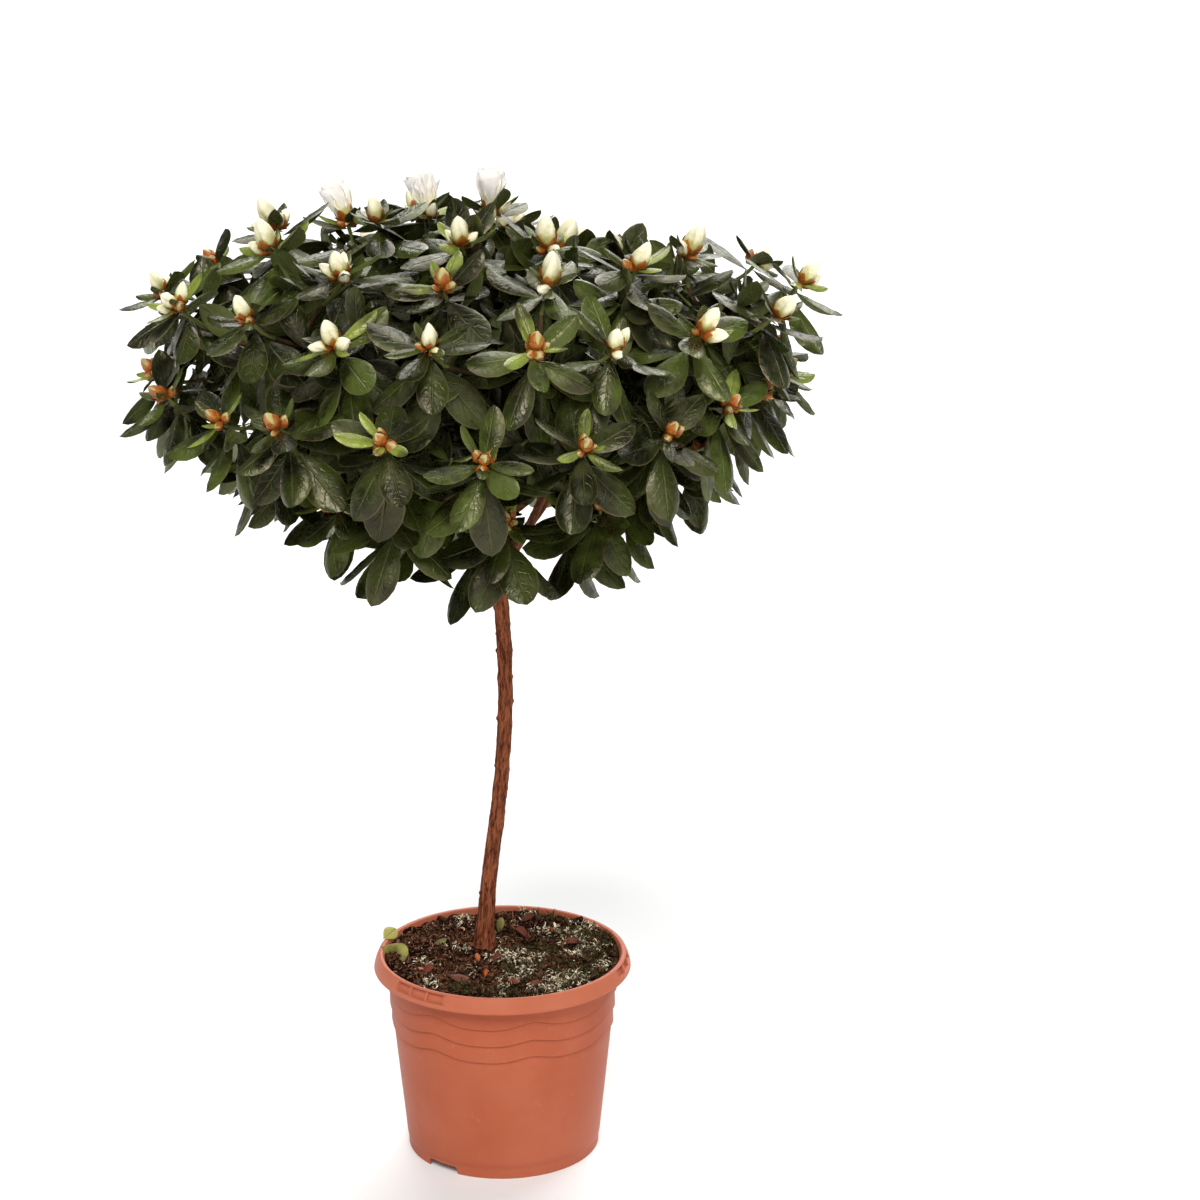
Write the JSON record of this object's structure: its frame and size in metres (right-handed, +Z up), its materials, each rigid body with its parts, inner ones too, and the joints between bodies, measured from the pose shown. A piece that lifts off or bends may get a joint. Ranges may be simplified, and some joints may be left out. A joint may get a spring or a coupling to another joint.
{
  "type": "azalea standard in a pot",
  "caption": "Evergreen azalea grown as a standard: one clear stem under a wide rounded crown of leafy sprays with pale buds, in a round plastic pot filled with soil",
  "frame": {"origin": "the middle of the pot's flat underside, on the pot's axis", "axes": "+Z up along the pot's axis, -Y towards the front, +X to the right seen from the front"},
  "size_m": [0.4544, 0.4431, 0.6572],
  "materials": {
    "pot": "terracotta-coloured moulded plastic, satin-matte",
    "soil": "dark moist peat with bark chips and moss, rough",
    "bark": "reddish-brown fibrous bark, matte",
    "foliage": "dark green leathery leaves with a soft sheen, cream buds with brown scales"
  },
  "bodies": {
    "root": {"bough_lower_1": "bark", "bough_lower_2": "bark", "bough_lower_3": "bark", "bough_lower_4": "bark", "bough_lower_5": "bark", "bough_lower_6": "bark", "bough_top": "bark", "bough_upper_1": "bark", "bough_upper_2": "bark", "bough_upper_3": "bark", "bough_upper_4": "bark", "bough_upper_5": "bark", "bough_upper_6": "bark", "foliage_lower_1": "foliage", "foliage_lower_2": "foliage", "foliage_lower_3": "foliage", "foliage_lower_4": "foliage", "foliage_lower_5": "foliage", "foliage_lower_6": "foliage", "foliage_top": "foliage", "foliage_upper_1": "foliage", "foliage_upper_2": "foliage", "foliage_upper_3": "foliage", "foliage_upper_4": "foliage", "foliage_upper_5": "foliage", "foliage_upper_6": "foliage", "pot": "pot", "soil": "soil", "trunk": "bark"}
  },
  "joints": []
}
